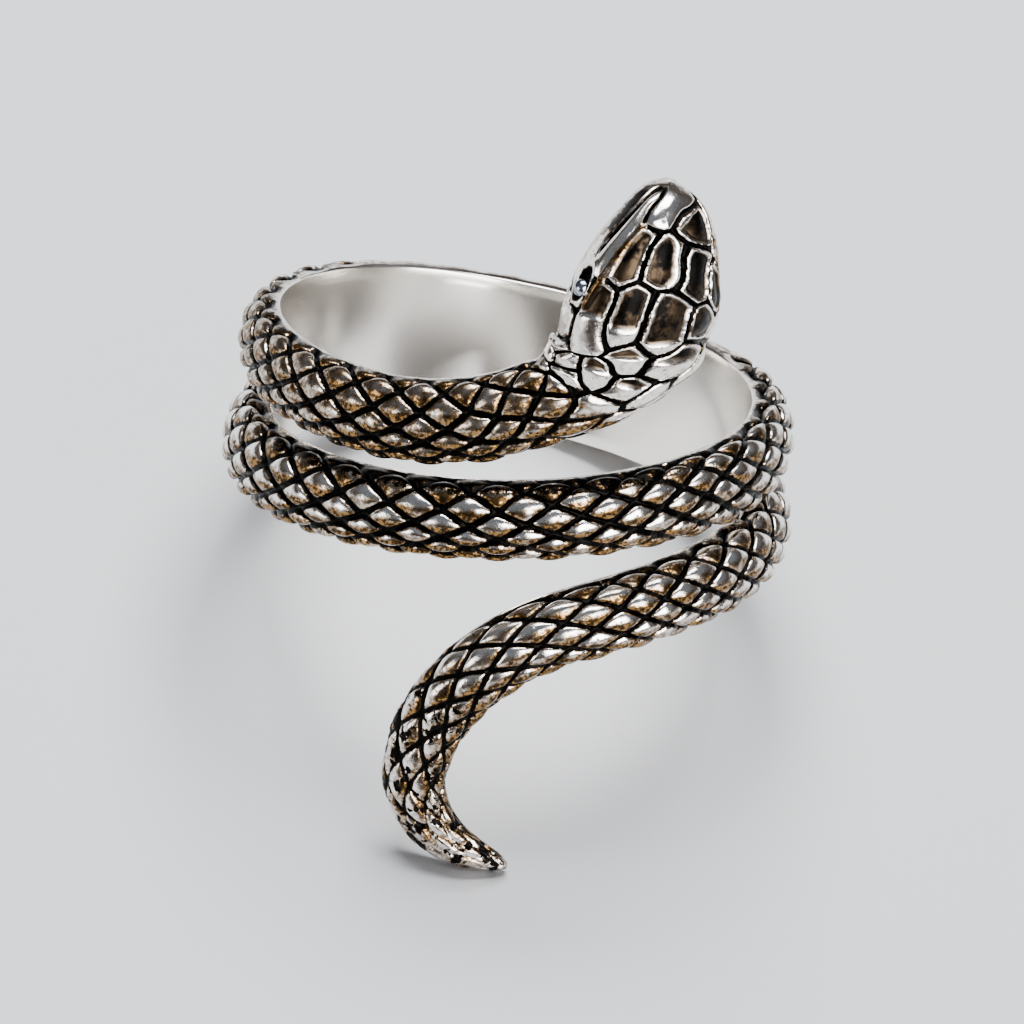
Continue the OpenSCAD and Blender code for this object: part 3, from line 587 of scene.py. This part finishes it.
def antiqued_silver_group():
    """Colour, roughness and height of silver that was blackened and then polished back, with shade
    painted on the low side of each scale.
    """
    tree = bpy.data.node_groups.new("Blackened, polished back and painted shade", "ShaderNodeTree")
    face = tree.interface
    for label, kind, start in [
        ("Groove", "Float", 0.0), ("Sunken", "Float", 0.0), ("Inside", "Float", 0.0),
        ("Low side shade", "Float", 0.0), ("Bright silver", "Color", (0.88, 0.848, 0.8, 1)),
        ("Brown patina and shade", "Color", (0.27, 0.148, 0.05, 1)),
        ("Black oxide and shade", "Color", (0.0015, 0.0012, 0.001, 1)),
    ]:
        socket = face.new_socket(label, in_out="INPUT", socket_type="NodeSocket" + kind)
        socket.default_value = start
    for label, kind in [("Color", "Color"), ("Roughness", "Float"), ("Metallic", "Float"),
                        ("Height", "Float")]:
        face.new_socket(label, in_out="OUTPUT", socket_type="NodeSocket" + kind)
    given = tree.nodes.new("NodeGroupInput").outputs

    def math_node(operation, *values, clamp=False):
        return plug_in(tree, "ShaderNodeMath", dict(enumerate(values)), operation=operation,
                       use_clamp=clamp).outputs[0]

    def ease(value, low, high, to_low=0.0, to_high=1.0):
        wires = {0: value, 1: low, 2: high, 3: to_low, 4: to_high}
        return plug_in(tree, "ShaderNodeMapRange", wires,
                       interpolation_type="SMOOTHSTEP").outputs[0]

    def mix(share, a, b):
        wires = {0: share, 6: a, 7: b}
        return plug_in(tree, "ShaderNodeMix", wires, data_type="RGBA").outputs[2]

    place = tree.nodes.new("ShaderNodeTexCoord").outputs["Object"]

    def noise(scale, detail=3.0):
        wires = {"Vector": place, "Scale": scale, "Detail": detail, "Roughness": 0.6}
        return plug_in(tree, "ShaderNodeTexNoise", wires).outputs[0]

    fine, middle, broad = noise(16000.0), noise(4200.0, 4.0), noise(900.0)
    away = math_node("SUBTRACT", 1.0, given["Inside"], clamp=True)

    # Pits of the casting
    wires = {"Vector": place, "Scale": 3600.0, "Randomness": 1.0}
    cells = plug_in(tree, "ShaderNodeTexVoronoi", wires).outputs[0]
    pit_size = ease(noise(2600.0, 1.0), 0.5, 0.72, 0.0, 0.3)
    pit = math_node("MULTIPLY", ease(math_node("SUBTRACT", pit_size, cells), 0.0, 0.06), 0.9)
    pit = math_node("MULTIPLY", pit, away)

    # Black in the grooves and brown along them, the patina of the hollows. Painted shade: brown,
    # with black mottle, on the low side of each scale
    ragged = math_node("MULTIPLY_ADD", math_node("SUBTRACT", fine, 0.5), 0.5, given["Groove"])
    ragged = math_node("MULTIPLY_ADD", math_node("SUBTRACT", middle, 0.5), 0.7, ragged)
    black = math_node("MAXIMUM", ease(ragged, 0.17, 0.27), pit)
    sunk = math_node("MULTIPLY_ADD", math_node("SUBTRACT", middle, 0.5), 1.6, given["Sunken"])
    sunk_dark = math_node("MULTIPLY", ease(sunk, 0.1, 0.5), given["Sunken"])
    side = math_node("MULTIPLY_ADD", math_node("SUBTRACT", middle, 0.5), 0.8, given["Low side shade"])
    painted_low_shade = math_node("MULTIPLY", ease(side, -0.28, 0.16), ease(side, 0.55, 0.9, 1.0, 0.3))
    painted_low_shade = math_node("MULTIPLY", painted_low_shade, ease(broad, 0.3, 0.5, 0.55, 1.0))
    brown = math_node("MAXIMUM", ease(ragged, 0.06, 0.24), painted_low_shade)
    brown = math_node("MULTIPLY", brown, away)
    brown = math_node("MAXIMUM", brown, math_node("MULTIPLY", sunk_dark, 0.9))
    # Painted shade: black mottle within the brown on the low side of each scale.
    painted_low_mottle = math_node("MULTIPLY", painted_low_shade, ease(noise(6500.0), 0.43, 0.55))
    painted_low_mottle = math_node("MULTIPLY", painted_low_mottle, away)
    black = math_node("MAXIMUM", black, math_node("MULTIPLY", painted_low_mottle, 0.9))
    patch = math_node("MULTIPLY_ADD", broad, 0.7, math_node("MULTIPLY", middle, 0.3))
    patch = math_node("MULTIPLY", sunk_dark, ease(patch, 0.42, 0.54, 0.9, 1.0))
    black = math_node("MAXIMUM", black, patch)
    color = mix(brown, given["Bright silver"], given["Brown patina and shade"])
    color = mix(black, color, given["Black oxide and shade"])

    # The outside is uneven, the inside one even polish
    rough = math_node("MULTIPLY_ADD", black, 0.2, ease(middle, 0.3, 0.7, 0.1, 0.2))
    rough = math_node("MULTIPLY", rough, away)
    rough = math_node("ADD", rough, math_node("MULTIPLY", given["Inside"], 0.19))
    metal = math_node("SUBTRACT", 1.0, math_node("MULTIPLY", black, 0.04))
    height = math_node("MULTIPLY_ADD", pit, -0.6, math_node("MULTIPLY", fine, 0.25))
    height = math_node("MULTIPLY_ADD", middle, 0.3, height)
    height = math_node("MULTIPLY", height, math_node("MULTIPLY_ADD", away, 0.9, 0.1))
    plug_in(tree, "NodeGroupOutput", {"Color": color, "Roughness": rough, "Metallic": metal,
                                      "Height": height})
    return tree


blackened_silver_and_shade = antiqued_silver_group()


def silver_material(name, bump=0.000018):
    material = bpy.data.materials.new(name)
    material.use_nodes = True
    tree = material.node_tree
    tree.nodes.clear()
    out = tree.nodes.new("ShaderNodeOutputMaterial")
    shader = tree.nodes.new("ShaderNodeBsdfPrincipled")
    tree.links.new(shader.outputs[0], out.inputs[0])
    group = tree.nodes.new("ShaderNodeGroup")
    group.node_tree = blackened_silver_and_shade
    for label, field in [("Groove", "groove"), ("Sunken", "sunken"), ("Inside", "inside"),
                         ("Low side shade", "low_side_shade")]:
        reader = plug_in(tree, "ShaderNodeAttribute", {}, attribute_name=field)
        tree.links.new(reader.outputs["Fac"], group.inputs[label])
    raised = plug_in(tree, "ShaderNodeBump", {"Height": group.outputs["Height"], "Distance": bump,
                                              "Strength": 1.0})
    for label, into in [("Color", "Base Color"), ("Roughness", "Roughness"),
                        ("Metallic", "Metallic")]:
        tree.links.new(group.outputs[label], shader.inputs[into])
    tree.links.new(raised.outputs[0], shader.inputs["Normal"])
    return material


antiqued_silver_and_shade = silver_material("antiqued silver with painted shade")


def cast(piece, finish, **sizes):
    """Runs the groove tree on a length of the snake and keeps the result as a plain mesh."""
    modifier = piece.modifiers.new("grooves", "NODES")
    modifier.node_group = cut_the_grooves
    sockets = {item.name: item.identifier for item in cut_the_grooves.interface.items_tree
               if item.in_out == "INPUT"}
    modifier[sockets["Finish"]] = finish
    for label, value in sizes.items():
        modifier[sockets[label.replace("_", " ")]] = value
    bpy.context.view_layer.update()
    evaluated = piece.evaluated_get(bpy.context.evaluated_depsgraph_get())
    mesh = bpy.data.meshes.new_from_object(evaluated)
    piece.modifiers.clear()
    piece.data = mesh
    mesh.set_sharp_from_angle(angle=math.radians(75))
    return piece


HEAD_END = 7.8
FIRST_END = 29.0
places = np.concatenate([np.linspace(0, HEAD_END, 195), np.linspace(HEAD_END, FIRST_END, 400)[1:]])
head_and_first_turn = cast(snake_length("head_and_first_turn", places, 140), antiqued_silver_and_shade)
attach(head_and_first_turn, "root")
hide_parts("snake_band")


# The second turn.
# The same casting in silver runs on behind the finger and across the front again. Behind, the
# solder joins it to the first turn.
SECOND_END = 87.5
places = np.linspace(FIRST_END, SECOND_END, 960)
second_turn = cast(snake_length("second_turn", places, 84), antiqued_silver_and_shade)
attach(second_turn, "root")
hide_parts("snake_band")


# The tail.
# The end of the casting, round behind once more and curling down in front to a blunt tip,
# where the scales are worn and the silver is pitted. The tip stands on the table.
TIP_START = LENGTH - 3
places = np.concatenate([np.linspace(SECOND_END, TIP_START, 780),
                         np.linspace(TIP_START, LENGTH, 90)[1:]])
tail = cast(snake_length("tail", places, 84), antiqued_silver_and_shade, Groove_width=0.14)
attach(tail, "root")
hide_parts("snake_band")


# The solder behind.
# Hard silver solder run along the seam between the two turns behind the finger, and filed
# flush with the smooth inside. It ends in a small hollow at each side.
SOLDER_FROM = 100
SOLDER_TO = 290
SOLDER_T = 0.35
SOLDER_HOLLOW = 9
SOLDER_OPEN = 0.2
SOLDER_SHY = 0.2
FILED_OVER, FILED_EDGE = 0.003, 0.02


def run_solder(name, steps=240, cells=40):
    """A strip along the seam, filed out thin over the smooth inside of both turns."""
    coil = np.array(COIL)
    way = np.linspace(-1, 1, cells + 1)[None, :]
    hollow = SOLDER_HOLLOW * np.clip(1 - (way / SOLDER_OPEN) ** 2, 0, 1)
    along = np.linspace(0, 1, steps + 1)[:, None]
    turn = SOLDER_FROM + hollow + (SOLDER_TO - SOLDER_FROM - 2 * hollow) * along
    first, second = (np.interp(turn + add, coil[:, 0], coil[:, 1]) for add in (0, 360))
    middle = START_Z - PITCH * (first + second) / 2
    reach = (PITCH * (second - first) + BAND_W) / 2 - SOLDER_SHY
    angle = -math.pi / 2 - np.radians(turn)

    def sheet(rise):
        radius = BORE_R + rise
        return np.stack([radius * np.cos(angle), radius * np.sin(angle), middle + reach * way], -1)

    inside = sheet(FILED_EDGE * smooth((np.abs(way) - 0.88) / 0.12) - FILED_OVER)
    outside = sheet(SOLDER_T - 0.1 * np.abs(way) ** 3)
    ring = np.concatenate([inside, outside[:, ::-1]], 1)
    count = ring.shape[1]
    faces = tube_quads(steps + 1, count).tolist()
    for k in range(cells):
        corners = [k, k + 1, count - 2 - k, count - 1 - k]
        faces += [corners, [steps * count + corner for corner in reversed(corners)]]
    mesh = bpy.data.meshes.new(name)
    mesh.from_pydata(to_metres(ring.reshape(-1, 3)).tolist(), [], faces)
    mesh.polygons.foreach_set("use_smooth", np.ones(len(mesh.polygons), bool))
    mesh.set_sharp_from_angle(angle=math.radians(50))
    layer = mesh.attributes.new("inside", "FLOAT", "POINT")
    layer.data.foreach_set("value", np.ones(len(mesh.vertices), np.float32))
    piece = bpy.data.objects.new(name, mesh)
    bpy.context.scene.collection.objects.link(piece)
    return piece


solder = run_solder("solder")
solder.data.materials.append(antiqued_silver_and_shade)
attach(solder, "root")
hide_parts("snake_band")


# The eyes.
# Two small round beads polished bright, with a bluish shine. Each is set in its blackened
# socket with metal worked over it. Their shapes are the CAD's own.
bead = bpy.data.materials.new("polished bead")
bead.use_nodes = True
bead_shader = bead.node_tree.nodes["Principled BSDF"]
bead_shader.inputs["Metallic"].default_value = 1.0
bead_shader.inputs["Base Color"].default_value = (0.33, 0.37, 0.44, 1)
bead_place = plug_in(bead.node_tree, "ShaderNodeTexCoord", {}).outputs["Object"]
wires = {"Vector": bead_place, "Scale": 9000.0}
bead_noise = plug_in(bead.node_tree, "ShaderNodeTexNoise", wires).outputs[0]
wires = {0: bead_noise, 1: 0.3, 2: 0.7, 3: 0.08, 4: 0.2}
bead_polish = plug_in(bead.node_tree, "ShaderNodeMapRange", wires)
bead.node_tree.links.new(bead_polish.outputs[0], bead_shader.inputs["Roughness"])
for name in ("eye_left", "eye_right"):
    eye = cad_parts[name]
    eye.data.materials.clear()
    eye.data.materials.append(bead)


# Table and backdrop.
# A sheet of plain pale grey paper laid flat on a table. The ring stands on it by itself,
# and nothing holds it.
half = 0.6
corners = [(-half, -half, 0), (half, -half, 0), (half, half, 0), (-half, half, 0)]
table_mesh = bpy.data.meshes.new("table")
table_mesh.from_pydata(corners, [], [(0, 1, 2, 3)])
table = bpy.data.objects.new("table", table_mesh)
bpy.context.scene.collection.objects.link(table)
paper = bpy.data.materials.new("pale paper")
paper.use_nodes = True
paper_shader = paper.node_tree.nodes["Principled BSDF"]
paper_shader.inputs["Base Color"].default_value = (0.84, 0.845, 0.86, 1)
paper_shader.inputs["Roughness"].default_value = 0.9
table_mesh.materials.append(paper)


# Studio light.
# One soft box high behind the ring lights the sheet. Two soft cards in front show in the
# metal alone, and the room is dim and a little warm near the floor.
RING_MIDDLE = np.array([0, 0, 0.012])


def softbox(name, azimuth, elevation, distance, width, height, power, tint=(1, 1, 1)):
    """A rectangle of light aimed at the ring, with the azimuth from the front to the right."""
    light = bpy.data.lights.new(name, "AREA")
    light.shape = "RECTANGLE"
    light.size, light.size_y = width, height
    light.energy = power
    light.color = tint
    a, e = math.radians(azimuth), math.radians(elevation)
    toward = np.array([math.sin(a) * math.cos(e), -math.cos(a) * math.cos(e), math.sin(e)])
    side = np.array([math.cos(a), math.sin(a), 0])
    turn = Matrix(np.column_stack([side, np.cross(toward, side), toward]).tolist()).to_4x4()
    lamp = bpy.data.objects.new(name, light)
    lamp.matrix_world = Matrix.Translation(RING_MIDDLE + toward * distance) @ turn
    bpy.context.scene.collection.objects.link(lamp)
    return lamp


right_card = softbox("front right card", azimuth=38, elevation=37, distance=0.45,
                     width=0.37, height=0.38, power=6.4)
left_card = softbox("front left card", azimuth=-60, elevation=16, distance=0.45,
                    width=0.22, height=0.2, power=0.8)
right_card.visible_diffuse = left_card.visible_diffuse = False
softbox("back box", azimuth=185, elevation=60, distance=1.4, width=1.0, height=0.8,
        power=46.5, tint=(0.97, 0.985, 1))
world = bpy.data.worlds.new("room")
bpy.context.scene.world = world
world.use_nodes = True
sky = world.node_tree
sky_way = plug_in(sky, "ShaderNodeTexCoord", {}).outputs["Generated"]
lift = plug_in(sky, "ShaderNodeSeparateXYZ", {0: sky_way}).outputs[2]
ramp = sky.nodes.new("ShaderNodeValToRGB")
low_stop, high_stop = ramp.color_ramp.elements
low_stop.color, high_stop.color = (0.07, 0.055, 0.045, 1), (0.16, 0.175, 0.2, 1)
low_stop.position, high_stop.position = 0.25, 0.6
sky.links.new(lift, ramp.inputs[0])
sky.links.new(ramp.outputs[0], sky.nodes["Background"].inputs[0])


# Camera at the photograph's angle.
# It stands far off with a long lens. Its angles are those to the ring's own axis, whose
# middle falls at AXIS_X, AXIS_Y in the photograph.
CAMERA_UP = math.radians(19.06)
CAMERA_ROLL = math.radians(5.17)
CAMERA_FAR = 313.0
PIXELS_PER_MM = 27
PHOTO_SIDE = 1024
AXIS_X, AXIS_Y = 515.1, 365.4
SENSOR_W = 36
FOCAL_PIXELS = PIXELS_PER_MM * CAMERA_FAR
right = np.array([1.0, 0, 0])
upright = np.array([0, math.sin(CAMERA_UP), math.cos(CAMERA_UP)])
backward = np.array([0, -math.cos(CAMERA_UP), math.sin(CAMERA_UP)])
across = math.cos(CAMERA_ROLL) * right + math.sin(CAMERA_ROLL) * upright
upward = -math.sin(CAMERA_ROLL) * right + math.cos(CAMERA_ROLL) * upright
aim = (-backward + (PHOTO_SIDE / 2 - AXIS_X) / FOCAL_PIXELS * across
       - (PHOTO_SIDE / 2 - AXIS_Y) / FOCAL_PIXELS * upward)
aim /= np.linalg.norm(aim)
across = across - aim * (across @ aim)
across /= np.linalg.norm(across)
upward = np.cross(across, aim)
camera_data = bpy.data.cameras.new("camera")
camera_data.sensor_width = SENSOR_W
camera_data.lens = SENSOR_W * FOCAL_PIXELS / PHOTO_SIDE
camera_data.clip_end = 10
camera = bpy.data.objects.new("camera", camera_data)
axes = np.column_stack([lay_on_table(across), lay_on_table(upward), lay_on_table(-aim)])
camera_place = Matrix.Translation(to_metres(backward * CAMERA_FAR))
camera.matrix_world = camera_place @ Matrix(axes.tolist()).to_4x4()
bpy.context.scene.collection.objects.link(camera)
bpy.context.scene.camera = camera
